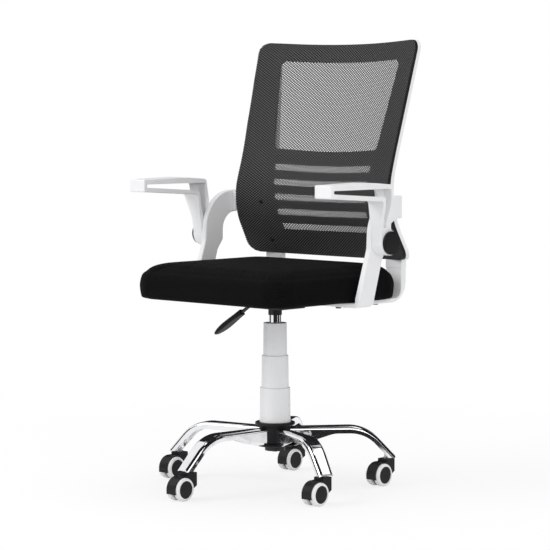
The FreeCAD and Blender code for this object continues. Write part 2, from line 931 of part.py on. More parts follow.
def make_plate():
    body = new_body("swivel_plate_body")
    plate_low = s.seat_low - s.plate_thickness
    dish_floor = s.dish_low + s.dish_wall
    flange = new_sketch(body, "XY_Plane", plate_low)
    half_x = s.plate_x / 2
    half_y = s.plate_y / 2
    draw(flange, rounded_rectangle(-half_x, half_x, -half_y, half_y, s.plate_corner))
    pad(body, flange, s.plate_thickness)
    outside = new_sketch(body, "XY_Plane", s.seat_low)
    draw(outside, rounded_rectangle(-s.dish_x / 2, s.dish_x / 2, -s.dish_y / 2, s.dish_y / 2, s.dish_corner))
    dish = pad(body, outside, s.seat_low - s.dish_low, backwards=True)
    bind(dish, "TaperAngle", -s.dish_draft)
    inside = new_sketch(body, "XY_Plane", s.seat_low)
    half_x = s.dish_x / 2 - s.dish_wall
    half_y = s.dish_y / 2 - s.dish_wall
    draw(inside, rounded_rectangle(-half_x, half_x, -half_y, half_y, s.dish_corner - s.dish_wall))
    hollow = pocket(body, inside, s.seat_low - dish_floor, backwards=True)
    bind(hollow, "TaperAngle", -s.dish_draft)
    cone = draw_circle(new_sketch(body, "XY_Plane", s.cone_low), 0, 0, s.cone_radius)
    pad(body, cone, dish_floor - s.cone_low)
    ear_inside = s.lever_eye_half + s.seat_gap
    ear_half = s.lever_eye_radius
    ear_high = s.lever_height + ear_half
    for side_sign in (1, -1):
        near = ear_inside * side_sign
        far = (ear_inside + s.lever_ear) * side_sign
        low_y, high_y = (near, far) if side_sign > 0 else (far, near)
        ear = new_sketch(body, "XY_Plane", s.dish_low)
        low_x = s.lever_pivot_x - ear_half
        high_x = s.lever_pivot_x + ear_half
        draw(ear, [(low_x, low_y), (high_x, low_y), (high_x, high_y), (low_x, high_y)])
        pad(body, ear, ear_high - s.dish_low)
    bore = draw_circle(new_sketch(body, "XY_Plane"), 0, 0, s.cylinder_radius + s.running_gap)
    pocket(body, bore)
    pin_hole = new_sketch(body, "XZ_Plane", -(ear_inside + s.lever_ear))
    draw_circle(pin_hole, s.lever_pivot_x, s.lever_height, s.lever_pin_radius + s.running_gap)
    pocket(body, pin_hole, 2 * (ear_inside + s.lever_ear))
    window = new_sketch(body, "YZ_Plane", s.lever_pivot_x - s.lever_eye_radius)
    half = s.lever_window_half
    centre = s.lever_height
    draw(window, rounded_rectangle(-half, half, centre - half, centre + half, s.lever_radius))
    pocket(body, window, s.dish_x, backwards=True)
    holes = new_sketch(body, "XY_Plane", s.seat_low)
    for x, y in plate_bolt_places():
        draw_circle(holes, x, y, s.bolt_radius + s.running_gap)
    pocket(body, holes, 2 * s.plate_thickness, backwards=True)
    finish(body, "swivel_plate")


def make_lever():
    body = new_body("lever_rod_body")
    slope_x = cosine(s.lever_slope)
    slope_z = sine(s.lever_slope)
    route = new_sketch(body, "XZ_Plane")
    draw(route, [
        (s.lever_inner_end, s.lever_height), (s.lever_bend_x, s.lever_height, s.lever_bend_radius),
        (s.lever_bend_x - s.lever_length * slope_x, s.lever_height - s.lever_length * slope_z),
    ], closed=False)
    section = new_sketch(body, "YZ_Plane", s.lever_inner_end)
    draw_circle(section, 0, s.lever_height, s.lever_radius)
    rod = body.newObject("PartDesign::AdditivePipe", "Pipe")
    rod.Profile = section
    rod.Spine = route
    eye = new_sketch(body, "XZ_Plane")
    draw_circle(eye, s.lever_pivot_x, s.lever_height, s.lever_eye_radius)
    pad(body, eye, 2 * s.lever_eye_half, symmetric=True)
    hole = new_sketch(body, "XZ_Plane")
    draw_circle(hole, s.lever_pivot_x, s.lever_height, s.lever_pin_radius + s.running_gap)
    pocket(body, hole)
    finish(body, "lever_rod")
    pin_half = s.lever_eye_half + s.seat_gap + s.lever_ear
    pin = cylinder("lever_pin_body", s.lever_pin_radius, 0, 2 * pin_half)
    turn(pin, Vector(1, 0, 0), -90)
    finish(place(pin, s.lever_pivot_x, -pin_half, s.lever_height), "lever_pin")
    make_grip(slope_x, slope_z)


def make_grip(slope_x, slope_z):
    """Flat teardrop paddle, lofted along the rod's sloping end, bored for the rod."""
    body = new_body("lever_grip_body")
    stations = [
        (0, s.grip_root_width, s.grip_root_width),
        (s.grip_full_from, s.grip_width, s.grip_thickness),
        (s.grip_full_to, s.grip_width, s.grip_thickness),
        (s.grip_length, s.grip_root_width, s.grip_tip_thickness),
    ]
    sections = []
    for along, width, thickness in stations:
        section = new_sketch(body, "XY_Plane", along)
        half = thickness / 2
        draw(section, rounded_rectangle(-half, half, -width / 2, width / 2, s.grip_corner))
        sections.append(section)
    loft = body.newObject("PartDesign::AdditiveLoft", "Loft")
    loft.Profile = sections[0]
    loft.Sections = sections[1:]
    hole = draw_circle(new_sketch(body, "XY_Plane"), 0, 0, s.lever_radius + s.running_gap)
    pocket(body, hole, s.lever_length - s.grip_start + s.seat_gap)
    turn(body, Vector(0, 1, 0), -90 - s.lever_slope)
    start_x = s.lever_bend_x - s.grip_start * slope_x
    start_z = s.lever_height - s.grip_start * slope_z
    finish(place(body, start_x, 0, start_z), "lever_grip")


# Seat

def seat_outline(inset, corner):
    return rounded_rectangle(inset - s.seat_half, s.seat_half - inset, s.seat_front + inset,
                             s.seat_rear - inset, corner)


def foot_bolt_places():
    middle = (s.foot_front + s.foot_rear) / 2
    places = [middle - s.foot_bolt_pitch / 2, middle + s.foot_bolt_pitch / 2]
    return [(sign * s.foot_bolt_x, y) for sign in (1, -1) for y in places]


def back_leg_bolt_places():
    places = [s.back_leg_bolt_y, s.back_leg_bolt_y + s.back_leg_bolt_pitch]
    return [(sign * s.back_leg_bolt_x, y) for sign in (1, -1) for y in places]


def make_board():
    body = new_body("seat_board_body")
    outline = new_sketch(body, "XY_Plane", s.seat_low)
    draw(outline, seat_outline(s.board_inset, s.seat_corner - s.board_inset))
    pad(body, outline, s.board_thickness)
    holes = new_sketch(body, "XY_Plane", s.seat_low)
    for x, y in plate_bolt_places() + foot_bolt_places() + back_leg_bolt_places():
        draw_circle(holes, x, y, s.bolt_radius + s.running_gap)
    pocket(body, holes, s.bolt_reach + s.seat_gap)
    finish(body, "seat_board")


def make_cushion():
    """Foam and cover as one crowned form: sides drawn in at the foot, full at the waist, domed on top."""
    body = new_body("seat_cushion_body")
    levels = [
        (s.seat_low + s.seat_gap, s.seat_foot_inset), (s.seat_tuck_high, s.seat_tuck_inset),
        (s.seat_waist_high, Size.of(0)), (s.seat_shoulder_high, s.seat_shoulder_inset),
        (s.seat_edge_high, s.seat_edge_inset), (s.seat_dome_low, s.seat_dome_low_inset),
        (s.seat_dome_high, s.seat_dome_high_inset), (s.seat_crown, s.seat_crown_inset),
    ]
    sections = []
    for height, inset in levels:
        section = new_sketch(body, "XY_Plane", height)
        draw(section, seat_outline(inset, s.seat_corner - s.seat_corner_share * inset))
        sections.append(section)
    loft = body.newObject("PartDesign::AdditiveLoft", "Loft")
    loft.Profile = sections[0]
    loft.Sections = sections[1:]
    loft.Ruled = True
    recess = new_sketch(body, "XY_Plane", s.seat_low)
    draw(recess, seat_outline(s.board_inset - s.seat_gap, s.seat_corner - s.board_inset + s.seat_gap))
    pocket(body, recess, s.board_thickness + s.seat_gap)
    finish(body, "seat_cushion")


def make_bolts():
    """Bolts up into the seat board: the plate's heads sit higher than those of the feet and back legs."""
    bolts = []
    seats = {
        "plate_bolt": (s.seat_low - s.plate_thickness, plate_bolt_places()),
        "foot_bolt": (s.foot_low, foot_bolt_places() + back_leg_bolt_places()),
    }
    for name, (seat, places) in seats.items():
        template = turned(name, [
            (0, seat - s.bolt_head), (s.bolt_head_radius, seat - s.bolt_head, s.bolt_head_round),
            (s.bolt_head_radius, seat), (s.bolt_radius, seat),
            (s.bolt_radius, s.seat_low + s.bolt_reach), (0, s.seat_low + s.bolt_reach),
        ])
        bolts += [place(copied(name + "_copy", template), x, y, 0) for x, y in places]
    finish(group("seat_bolt_group", bolts), "seat_bolts")


# Side supports, arms and their pivots

def make_support(name):
    body = new_body(name)
    side = new_sketch(body, "YZ_Plane", s.support_inner)
    draw(side, [
        (s.foot_front, s.foot_bend_high), (s.foot_rear, s.foot_bend_high),
        (s.support_waist_y, s.support_waist_z, s.support_waist_radius),
        (s.support_rear_y, s.support_knee_z, s.support_rear_radius),
        (s.support_rear_y, s.support_end_low, s.support_hollow_radius), (s.support_end, s.support_end_low),
        (s.support_end, s.support_top), (s.support_top_y, s.support_top, s.support_bow_radius),
        (s.support_knee_y, s.support_knee_z, s.support_knee_radius),
    ])
    pad(body, side, s.support_outer - s.support_inner)
    foot = new_sketch(body, "XZ_Plane", -s.foot_rear)
    draw(foot, [
        (s.support_outer, s.foot_bend_high), (s.support_inner, s.foot_bend_high),
        (s.support_inner, s.seat_low, s.foot_bend_inside), (s.foot_inner, s.seat_low),
        (s.foot_inner, s.foot_low), (s.support_outer, s.foot_low, s.foot_bend_radius),
    ])
    pad(body, foot, s.foot_rear - s.foot_front)
    fillet(body, s.support_round, lambda point: point.x > s.foot_bolt_x.value)
    holes = new_sketch(body, "XY_Plane", s.foot_low)
    for x, y in foot_bolt_places():
        if x.value > 0:
            draw_circle(holes, x, y, s.bolt_radius + s.running_gap)
    pocket(body, holes, s.seat_low - s.foot_low)
    bore = new_sketch(body, "YZ_Plane", s.support_outer)
    draw_circle(bore, s.pivot_y, s.pivot_z, s.pivot_radius + s.running_gap)
    pocket(body, bore, s.pivot_depth, backwards=True)
    return body


def is_on_arm_rim(point):
    """Whether a point is on the arm's outer edges, above its boss."""
    above_boss = point.z > s.pivot_z.value + s.arm_round.value
    return above_boss and (abs(point.x - s.arm_inner.value) < TOUCH or point.x > s.boss_outer.value - TOUCH)


def arm_core_outline():
    """Hollow between the arm's rails and down inside its shin, as y and z."""
    return [
        (s.arm_core_front, s.arm_core_front_low, s.arm_core_front_radius),
        (s.arm_core_elbow_y, s.arm_core_elbow_z, s.arm_core_elbow_radius),
        (s.arm_core_toe_front, s.arm_core_toe_z, s.arm_core_toe_radius),
        (s.arm_core_toe_rear, s.arm_core_toe_z, s.arm_core_toe_radius),
        (s.arm_core_rear, s.arm_core_high, s.arm_core_rear_radius),
        (s.arm_core_front, s.arm_core_high, s.arm_core_front_radius),
    ]


def arm_window_outline():
    """The part of the hollow that is open right through: between the rails, ending short of the elbow."""
    fall = (s.arm_core_front_low - s.arm_core_elbow_z) / (s.arm_core_elbow_y - s.arm_core_front)
    rear_low_z = s.arm_core_front_low - fall * (s.arm_window_rear_low - s.arm_core_front)
    return [
        (s.arm_core_front, s.arm_core_front_low, s.arm_core_front_radius),
        (s.arm_window_rear_low, rear_low_z, s.arm_window_radius),
        (s.arm_window_rear_high, s.arm_core_high, s.arm_window_radius),
        (s.arm_core_front, s.arm_core_high, s.arm_core_front_radius),
    ]


def make_arm(name):
    """Loop armrest: a band round a thin middle web, open between its rails, then a shin down to the boss."""
    body = new_body(name)
    side = new_sketch(body, "YZ_Plane", s.arm_inner)
    draw(side, [
        (s.arm_front, s.arm_nose_low, s.arm_nose_radius), (s.arm_elbow_y, s.arm_elbow_z, s.arm_elbow_radius),
        (s.arm_shin_y, s.arm_shin_z), (s.pivot_y - s.boss_radius, s.pivot_z),
        (s.pivot_y + s.boss_radius, s.pivot_z), (s.arm_heel_y, s.arm_heel_z, s.arm_heel_radius),
        (s.arm_rear_y, s.arm_rear_high, s.arm_rear_round),
        (s.arm_crown_y, s.arm_crown_high, s.arm_crown_radius),
        (s.arm_front, s.arm_nose_high, s.arm_nose_radius),
    ])
    width = s.arm_outer - s.arm_inner
    pad(body, side, width)
    beside = s.arm_outer + s.boss_radius
    below = s.pivot_z - 2 * s.boss_radius
    taper_low = s.pivot_z + s.boss_radius + s.arm_taper_rise
    taper = new_sketch(body, "XZ_Plane")
    draw(taper, [
        (s.arm_outer, s.arm_nose_high), (s.arm_outer, s.arm_taper_high, s.arm_taper_high_radius),
        (s.boss_outer, taper_low, s.arm_taper_low_radius), (s.boss_outer, below), (beside, below),
        (beside, s.arm_nose_high),
    ])
    pocket(body, taper)
    fillet(body, s.arm_round, is_on_arm_rim)
    depth = (width - s.arm_web) / 2
    inner_core = draw(new_sketch(body, "YZ_Plane", s.arm_inner), arm_core_outline())
    pocket(body, inner_core, depth)
    outer_core = draw(new_sketch(body, "YZ_Plane", s.arm_outer), arm_core_outline())
    pocket(body, outer_core, depth, backwards=True)
    pocket(body, draw(new_sketch(body, "YZ_Plane", s.arm_inner), arm_window_outline()), width)
    boss = draw_circle(new_sketch(body, "YZ_Plane", s.arm_inner), s.pivot_y, s.pivot_z, s.boss_radius)
    pad(body, boss, s.boss_outer - s.arm_inner)
    bore = new_sketch(body, "YZ_Plane", s.arm_inner)
    draw_circle(bore, s.pivot_y, s.pivot_z, s.pivot_radius + s.running_gap)
    pocket(body, bore, s.boss_outer - s.arm_inner)
    return body


def make_pivots():
    pin_low = s.support_outer - s.pivot_depth + s.seat_gap
    cap_face = s.boss_outer + s.slide_gap
    pin = new_body("arm_pin_body")
    pad(pin, draw_circle(new_sketch(pin, "YZ_Plane", pin_low), s.pivot_y, s.pivot_z, s.pivot_radius),
        cap_face - pin_low)
    finish(group("arm_pin_group", [pin, mirrored("arm_pin_right", pin)]), "arm_pins")
    cap = new_body("arm_cap_body")
    disc = draw_circle(new_sketch(cap, "YZ_Plane", cap_face), s.pivot_y, s.pivot_z, s.cap_radius)
    pad(cap, disc, s.cap_thickness)
    outer = (cap_face + s.cap_thickness).value
    fillet(cap, s.cap_round, lambda point: abs(point.x - outer) < TOUCH)
    finish(group("arm_cap_group", [cap, mirrored("arm_cap_right", cap)]), "arm_caps")


# Back: mesh, slotted inner panel and outer frame are layers of one bent sheet

def sheet_line(depth):
    """Side view of the back at a depth behind its front: top, lumbar knee and foot, as (y, z)."""
    upper = (s.back_top_y - s.back_knee_y) / (s.back_top_z - s.back_knee_z)
    lower = (s.back_low_y - s.back_knee_y) / (s.back_knee_z - s.back_low_z)
    upper_shift = depth / cosine(arc_tangent(upper))
    lower_shift = depth / cosine(arc_tangent(lower))
    rise = (lower_shift - upper_shift) / (upper + lower)
    knee = (s.back_knee_y + upper_shift + upper * rise, s.back_knee_z + rise)
    return (s.back_top_y + upper_shift, s.back_top_z), knee, (s.back_low_y + lower_shift, s.back_low_z)


def bent_layer(name, near, far):
    """A layer of the back between two depths, swept about the upright bend axis."""
    body = new_body(name)
    top, knee, low = sheet_line(near)
    rear_top, rear_knee, rear_low = sheet_line(far)
    axis = s.bend_axis
    section = new_sketch(body, "YZ_Plane")
    draw(section, [
        (top[0] + axis, top[1]), (knee[0] + axis, knee[1], s.lumbar_radius + near), (low[0] + axis, low[1]),
        (rear_low[0] + axis, rear_low[1]), (rear_knee[0] + axis, rear_knee[1], s.lumbar_radius + far),
        (rear_top[0] + axis, rear_top[1]),
    ])
    sweep = revolve(body, section)
    bind(sweep, "Angle", s.bend_sweep)
    sweep.Midplane = True
    place(body, 0, -axis, 0)
    return body


def arched(low, high, half_low, half_high, dip_low, dip_high, corner):
    """Closed outline, x and z, whose upper and lower edges sag in the middle and whose corners are round."""
    low_arch = (half_low * half_low) / (s.arch_share * dip_low)
    high_arch = (half_high * half_high) / (s.arch_share * dip_high)
    return [
        (-half_low, low, corner), (0, low - dip_low, low_arch), (half_low, low, corner),
        (half_high, high, corner), (0, high - dip_high, high_arch), (-half_high, high, corner),
    ]


def back_outline(margin=0):
    """Front view of the back, grown by a margin: waisted sides, dipped top edge, sagging lower edge."""
    rim = arched(s.back_low_edge - margin, s.back_top_edge + margin, s.back_low_half + margin,
                 s.back_top_half + margin, s.back_low_dip, s.back_top_dip, s.back_corner + margin)
    rim.insert(3, (s.back_waist_half + margin, s.back_waist_z, s.back_side_radius))
    rim.append((-s.back_waist_half - margin, s.back_waist_z, s.back_side_radius))
    return rim


def window_outline():
    return arched(s.window_low_edge, s.window_top_edge, s.window_low_half, s.window_top_half,
                  s.window_low_dip, s.window_top_dip, s.window_corner)


def slot_outline(number):
    high = s.slot_first - s.slot_pitch * number
    half = s.slot_half - s.slot_step_in * number
    sag = s.slot_smile * (s.slot_count - number) / s.slot_count
    return arched(high - s.slot_height, high, half, half, sag, sag, s.slot_corner)


def cut_from_sheet(name, layer, outlines):
    """Keeps the part of a bent layer that lies behind a front view."""
    body = new_body(name + "_view")
    view = new_sketch(body, "XZ_Plane")
    for outline in outlines:
        draw(view, outline)
    pad(body, view, 2 * s.bend_axis, symmetric=True)
    return combine("Common", name + "_sheet", layer, body)


def make_back():
    panel_near = s.mesh_thickness + s.seat_gap
    panel_far = panel_near + s.panel_thickness
    frame_near = panel_far + s.seat_gap
    frame_far = frame_near + s.frame_thickness
    mesh_layer = bent_layer("mesh_layer", Size.of(0), s.mesh_thickness)
    finish(cut_from_sheet("back_mesh", mesh_layer, [back_outline()]), "back_mesh")
    slots = [slot_outline(number) for number in range(int(s.slot_count.value))]
    views = [back_outline(), window_outline()] + slots
    panel_layer = bent_layer("panel_layer", panel_near, panel_far)
    finish(cut_from_sheet("back_panel", panel_layer, views), "back_panel")
    make_back_frame(frame_near, frame_far)


def make_back_frame(near, far):
    """Outer frame: a rim open behind the window and slots, with side lugs and two lower feet."""
    layer = bent_layer("frame_layer", near, far)
    last_slot = s.slot_first - s.slot_pitch * (s.slot_count - 1) - s.slot_height
    half = s.slot_half + s.frame_margin
    low_edge = last_slot - s.frame_margin
    shoulder = s.window_low_edge
    opening = [
        (-half, low_edge, s.window_corner), (half, low_edge, s.window_corner),
        (half, shoulder, s.back_corner),
        (s.window_top_half + s.frame_margin, s.window_top_edge + s.frame_margin, s.window_corner),
        (-s.window_top_half - s.frame_margin, s.window_top_edge + s.frame_margin, s.window_corner),
        (-half, shoulder, s.back_corner),
    ]
    frame = cut_from_sheet("back_frame", layer, [back_outline(), opening])
    lug_middle = (s.support_top + s.support_end_low) / 2
    lug_low = lug_middle - s.lug_half
    lug_high = lug_middle + s.lug_half
    lug_outer = s.support_inner - s.seat_gap
    lug_rear = s.support_end
    lug_back = lug_rear - s.frame_thickness
    pieces = []
    for side_sign in (1, -1):
        spans = [
            (s.lug_inner, lug_outer, lug_back, lug_rear, lug_low, lug_high),
            (s.lug_edge, lug_outer, s.lug_front, lug_rear, lug_low, lug_high),
            (s.back_leg_inner, s.back_leg_outer, s.back_leg_front, s.back_leg_rear, s.back_leg_high,
             s.back_foot_high),
        ]
        for near_x, far_x, low_y, high_y, low_z, high_z in spans:
            low_x, high_x = (near_x, far_x) if side_sign > 0 else (-far_x, -near_x)
            pieces.append(box("back_frame_lug", (low_x, low_y, low_z), (high_x, high_y, high_z)))
    lugs = doc.addObject("Part::MultiFuse", "back_frame_lugs")
    lugs.Shapes = pieces
    front_layers = bent_layer("front_layers", -s.frame_thickness, near)
    front_space = cut_from_sheet("front_space", front_layers, [back_outline(s.seat_gap)])
    trimmed = combine("Cut", "back_frame_trimmed", lugs, front_space)
    whole = combine("Fuse", "back_frame_whole", frame, trimmed)
    whole.Refine = True
    finish(whole, "back_frame")


def is_on_back_leg_side(point):
    """Whether a point is on a back leg's long edges, clear of its two ends."""
    sides = (s.back_leg_inner.value, s.back_leg_outer.value)
    on_side = min(abs(point.x - side) for side in sides) < TOUCH
    clear = s.back_leg_round.value
    return on_side and point.y > s.back_leg_end.value + clear and point.z < s.back_leg_high.value - clear


def make_back_leg(name):
    body = new_body(name)
    side = new_sketch(body, "YZ_Plane", s.back_leg_inner)
    high = s.back_leg_high - s.seat_gap
    draw(side, [
        (s.back_leg_rear, high), (s.back_leg_front, high), (s.back_leg_front, s.seat_low, s.back_leg_hollow),
        (s.back_leg_end, s.seat_low), (s.back_leg_end, s.foot_low),
        (s.back_leg_rear, s.foot_low, s.back_leg_radius),
    ])
    pad(body, side, s.back_leg_outer - s.back_leg_inner)
    fillet(body, s.back_leg_round, is_on_back_leg_side)
    holes = new_sketch(body, "XY_Plane", s.foot_low)
    for x, y in back_leg_bolt_places():
        if x.value > 0:
            draw_circle(holes, x, y, s.bolt_radius + s.running_gap)
    pocket(body, holes, s.seat_low - s.foot_low)
    return body


make_casters()
make_legs()
make_hub()
make_lift()
make_covers()
make_plate()
make_lever()
make_board()
make_cushion()
make_bolts()
pair(make_support, "side_support")
pair(make_arm, "armrest")
make_pivots()
make_back()
pair(make_back_leg, "back_leg")
doc.recompute()

broken = [each.Name for each in doc.Objects if {"Invalid", "Error"} & set(each.State)]
if broken:
    raise SystemExit("failed objects: " + ", ".join(broken))
bad = []
for part in parts:
    if part.Shape.isNull() or not part.Shape.isValid() or not part.Shape.Solids:
        bad.append(part.Label)
if bad:
    raise SystemExit("bad shapes: " + ", ".join(bad))
os.makedirs("parts", exist_ok=True)
for part in parts:
    part.Shape.exportStep("parts/" + part.Label + ".step")
    print(part.Label, len(part.Shape.Solids), round(part.Shape.Volume), part.Shape.BoundBox)
print(len(parts), "parts")
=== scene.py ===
import json
import math

import bpy
import numpy as np
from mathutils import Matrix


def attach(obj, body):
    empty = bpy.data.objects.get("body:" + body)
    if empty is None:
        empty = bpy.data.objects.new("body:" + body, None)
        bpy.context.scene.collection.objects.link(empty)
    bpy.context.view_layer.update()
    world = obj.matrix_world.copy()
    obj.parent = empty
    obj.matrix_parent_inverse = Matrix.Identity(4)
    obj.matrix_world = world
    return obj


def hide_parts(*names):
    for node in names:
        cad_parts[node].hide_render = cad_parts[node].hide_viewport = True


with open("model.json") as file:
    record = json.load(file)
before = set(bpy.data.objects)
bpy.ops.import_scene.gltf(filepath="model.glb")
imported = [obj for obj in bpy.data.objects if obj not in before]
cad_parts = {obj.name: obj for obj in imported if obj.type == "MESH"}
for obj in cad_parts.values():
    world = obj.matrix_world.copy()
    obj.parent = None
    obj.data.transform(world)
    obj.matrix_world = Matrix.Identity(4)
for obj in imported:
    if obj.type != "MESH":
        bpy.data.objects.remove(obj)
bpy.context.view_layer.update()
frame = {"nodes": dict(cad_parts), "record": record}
nodes = frame["nodes"]
scene = bpy.context.scene
print("frame loaded:", len(nodes), "nodes")


class Wire:
    # one output socket that does maths; each operator adds a Math node
    def __init__(self, shading, socket):
        self.shading = shading
        self.socket = socket

    def sibling(self, name):
        # another output of the same node
        return Wire(self.shading, self.socket.node.outputs[name])

    def maths(self, operation, *others):
        inputs = {0: self}
        for index, other in enumerate(others, start=1):
            inputs[index] = other
        return self.shading.add("ShaderNodeMath", {"operation": operation}, inputs)

    def __add__(self, other):
        return self.maths("ADD", other)

    def __radd__(self, other):
        return self.maths("ADD", other)

    def __sub__(self, other):
        return self.maths("SUBTRACT", other)

    def __rsub__(self, other):
        return self.maths("MULTIPLY", -1.0) + other

    def __mul__(self, other):
        return self.maths("MULTIPLY", other)

    def __rmul__(self, other):
        return self.maths("MULTIPLY", other)

    def smooth(self, low, high):
        # 0 below low, 1 above high, eased between
        settings = {"interpolation_type": "SMOOTHSTEP"}
        inputs = {"Value": self, "From Min": low, "From Max": high}
        return self.shading.add("ShaderNodeMapRange", settings, inputs)

    def clamp(self):
        return self.maths("MAXIMUM", 0.0).maths("MINIMUM", 1.0)


class Shading:
    # a node tree with one short way to add nodes
    def __init__(self, tree):
        self.tree = tree

    def add(self, kind, settings=None, inputs=None, output=0):
        node = self.tree.nodes.new(kind)
        for key, value in (settings or {}).items():
            setattr(node, key, value)
        for key, value in (inputs or {}).items():
            self.feed(node.inputs[key], value)
        return Wire(self, node.outputs[output])

    def feed(self, socket, value):
        if isinstance(value, Wire):
            self.tree.links.new(value.socket, socket)
        else:
            socket.default_value = value

    def coords(self, kind):
        return self.add("ShaderNodeTexCoord", output=kind)

    def noise(self, scale, detail, roughness=0.5):
        inputs = {"Vector": self.coords("Object"), "Scale": scale}
        inputs.update({"Detail": detail, "Roughness": roughness})
        return self.add("ShaderNodeTexNoise", {}, inputs)

    def split(self, vector):
        x = self.add("ShaderNodeSeparateXYZ", {}, {0: vector})
        return x, x.sibling("Y")

    def mixColour(self, factor, first, second):
        inputs = {0: factor, 6: first, 7: second}
        return self.add("ShaderNodeMix", {"data_type": "RGBA"}, inputs, output=2)

    def bump(self, height, distance, strength):
        inputs = {"Height": height, "Distance": distance, "Strength": strength}
        return self.add("ShaderNodeBump", {}, inputs)


class Finish(Shading):
    # a material with one Principled shader
    def __init__(self, name):
        self.material = bpy.data.materials.new(name)
        self.material.use_nodes = True
        super().__init__(self.material.node_tree)
        self.shader = self.tree.nodes["Principled BSDF"]

    def set(self, **values):
        for key, value in values.items():
            self.feed(self.shader.inputs[key.replace("_", " ")], value)
        return self.material


# in each look, cloud, grain, lint and the like are a noise's scale, detail and any roughness
whitePlasticLook = {
    "light": (0.86, 0.865, 0.87, 1), "shade": (0.81, 0.82, 0.83, 1), "specular": 0.45,
    "rough": 0.42, "cloudRough": 0.10, "grain": (900.0, 2.0), "grainDepth": 0.00006,
}
blackPlasticLook = {
    "light": (0.016, 0.016, 0.017, 1), "shade": (0.008, 0.008, 0.009, 1), "specular": 0.2,
    "rough": 0.45, "cloudRough": 0.12, "grain": (700.0, 2.0), "grainDepth": 0.0001,
}
# shared by both plastics
mouldLook = {"cloud": (9.0, 4.0), "cloudEdges": (0.3, 0.75), "grainRough": 0.12, "bump": 0.6}


def mouldedPlastic(name, look, mould):
    # moulded plastic: faint cloudy tint, fine spark-eroded grain in the bump, uneven gloss
    finish = Finish(name)
    cloud = finish.noise(*mould["cloud"])
    grain = finish.noise(*look["grain"])
    tint = cloud.smooth(*mould["cloudEdges"])
    unevenGloss = (cloud - 0.5) * look["cloudRough"] + (grain - 0.5) * mould["grainRough"]
    return finish.set(
        Base_Color=finish.mixColour(tint, look["light"], look["shade"]),
        Roughness=unevenGloss + look["rough"],
        Normal=finish.bump(grain, look["grainDepth"], mould["bump"]),
        Specular_IOR_Level=look["specular"],
    )


chromeLook = {
    "light": (0.86, 0.865, 0.875, 1), "shade": (0.74, 0.75, 0.765, 1), "tintEdges": (0.4, 0.8),
    "smudge": (26.0, 5.0, 0.6), "smudgeEdges": (0.45, 0.8), "smudgeRough": 0.09,
    "fine": (234.0, 3.0), "fineRough": 0.02, "rough": 0.045,
}


def plating(name, look):
    # bright plate: clean mirror with faint handling smudges
    finish = Finish(name)
    smudge = finish.noise(*look["smudge"])
    fine = finish.noise(*look["fine"])
    tint = smudge.smooth(*look["tintEdges"])
    smeared = smudge.smooth(*look["smudgeEdges"]) * look["smudgeRough"]
    return finish.set(
        Base_Color=finish.mixColour(tint, look["light"], look["shade"]),
        Metallic=1.0,
        Roughness=smeared + fine * look["fineRough"] + look["rough"],
    )


steelLook = {
    "light": (0.58, 0.58, 0.60, 1), "shade": (0.42, 0.42, 0.44, 1), "cloud": (18.0, 4.0),
    "streak": (420.0, 3.0), "streakRough": 0.14, "rough": 0.26, "depth": 0.00005, "bump": 0.5,
}


def turnedSteel(name, look):
    # plain steel: cloudy tint under fine tool marks
    finish = Finish(name)
    streak = finish.noise(*look["streak"])
    cloud = finish.noise(*look["cloud"])
    return finish.set(
        Base_Color=finish.mixColour(cloud, look["light"], look["shade"]),
        Metallic=1.0,
        Roughness=streak * look["streakRough"] + look["rough"],
        Normal=finish.bump(streak, look["depth"], look["bump"]),
    )


tyreLook = {
    "light": (0.87, 0.873, 0.88, 1), "shade": (0.76, 0.765, 0.775, 1),
    "scuff": (120.0, 5.0, 0.65), "scuffEdges": (0.5, 0.72), "scuffTint": 0.6, "scuffRough": 0.2,
    "cloud": (24.0, 3.0), "cloudTint": 0.2, "rough": 0.38, "depth": 0.00008, "bump": 0.4,
}


def paleTyre(name, look):
    # cast polyurethane: scuffed and slightly waxy
    finish = Finish(name)
    scuff = finish.noise(*look["scuff"])
    cloud = finish.noise(*look["cloud"])
    soiled = scuff.smooth(*look["scuffEdges"]) * look["scuffTint"] + cloud * look["cloudTint"]
    return finish.set(
        Base_Color=finish.mixColour(soiled, look["light"], look["shade"]),
        Roughness=scuff * look["scuffRough"] + look["rough"],
        Normal=finish.bump(scuff, look["depth"], look["bump"]),
    )


blackCoatLook = {
    "light": (0.022, 0.022, 0.024, 1), "shade": (0.012, 0.012, 0.013, 1), "cloud": (14.0, 4.0),
    "peel": (1100.0, 2.0), "peelRough": 0.15, "rough": 0.38, "depth": 0.00012, "bump": 0.6,
}


def powderCoat(name, look):
    # baked powder: fine orange peel in gloss and bump
    finish = Finish(name)
    peel = finish.noise(*look["peel"])
    cloud = finish.noise(*look["cloud"])
    return finish.set(
        Base_Color=finish.mixColour(cloud, look["light"], look["shade"]),
        Roughness=peel * look["peelRough"] + look["rough"],
        Normal=finish.bump(peel, look["depth"], look["bump"]),
    )


def holeField(finish, weave, look):
    # rows of dips, each row shifted by half a pitch:
    # 0 at a dip and 1 midway between two dips of a row
    x, y = finish.split(weave)
    fields = []
    for shift in (0.0, 0.5):
        u = (x * (1 / look["across"]) + shift).maths("PINGPONG", 0.5) * 2.0
        v = (y * (1 / look["along"]) + shift).maths("PINGPONG", 0.5) * 2.0
        fields.append((u * u + v * v).maths("SQRT"))
    return fields[0].maths("MINIMUM", fields[1])


seatLook = {
    "across": 0.0052, "along": 0.0045, "yarnEdges": (0.35, 0.8),
    "light": (0.0115, 0.0115, 0.012, 1), "shade": (0.001, 0.001, 0.0011, 1), "leastTint": 0.5,
    "lint": (300.0, 4.0, 0.6), "lintTint": 0.7, "lintRough": 0.1, "lintBump": 0.3,
    "rough": 0.86, "depth": 0.0006, "bump": 0.7, "specular": 0.06, "sheen": 0.014, "sheenRough": 0.4,
}


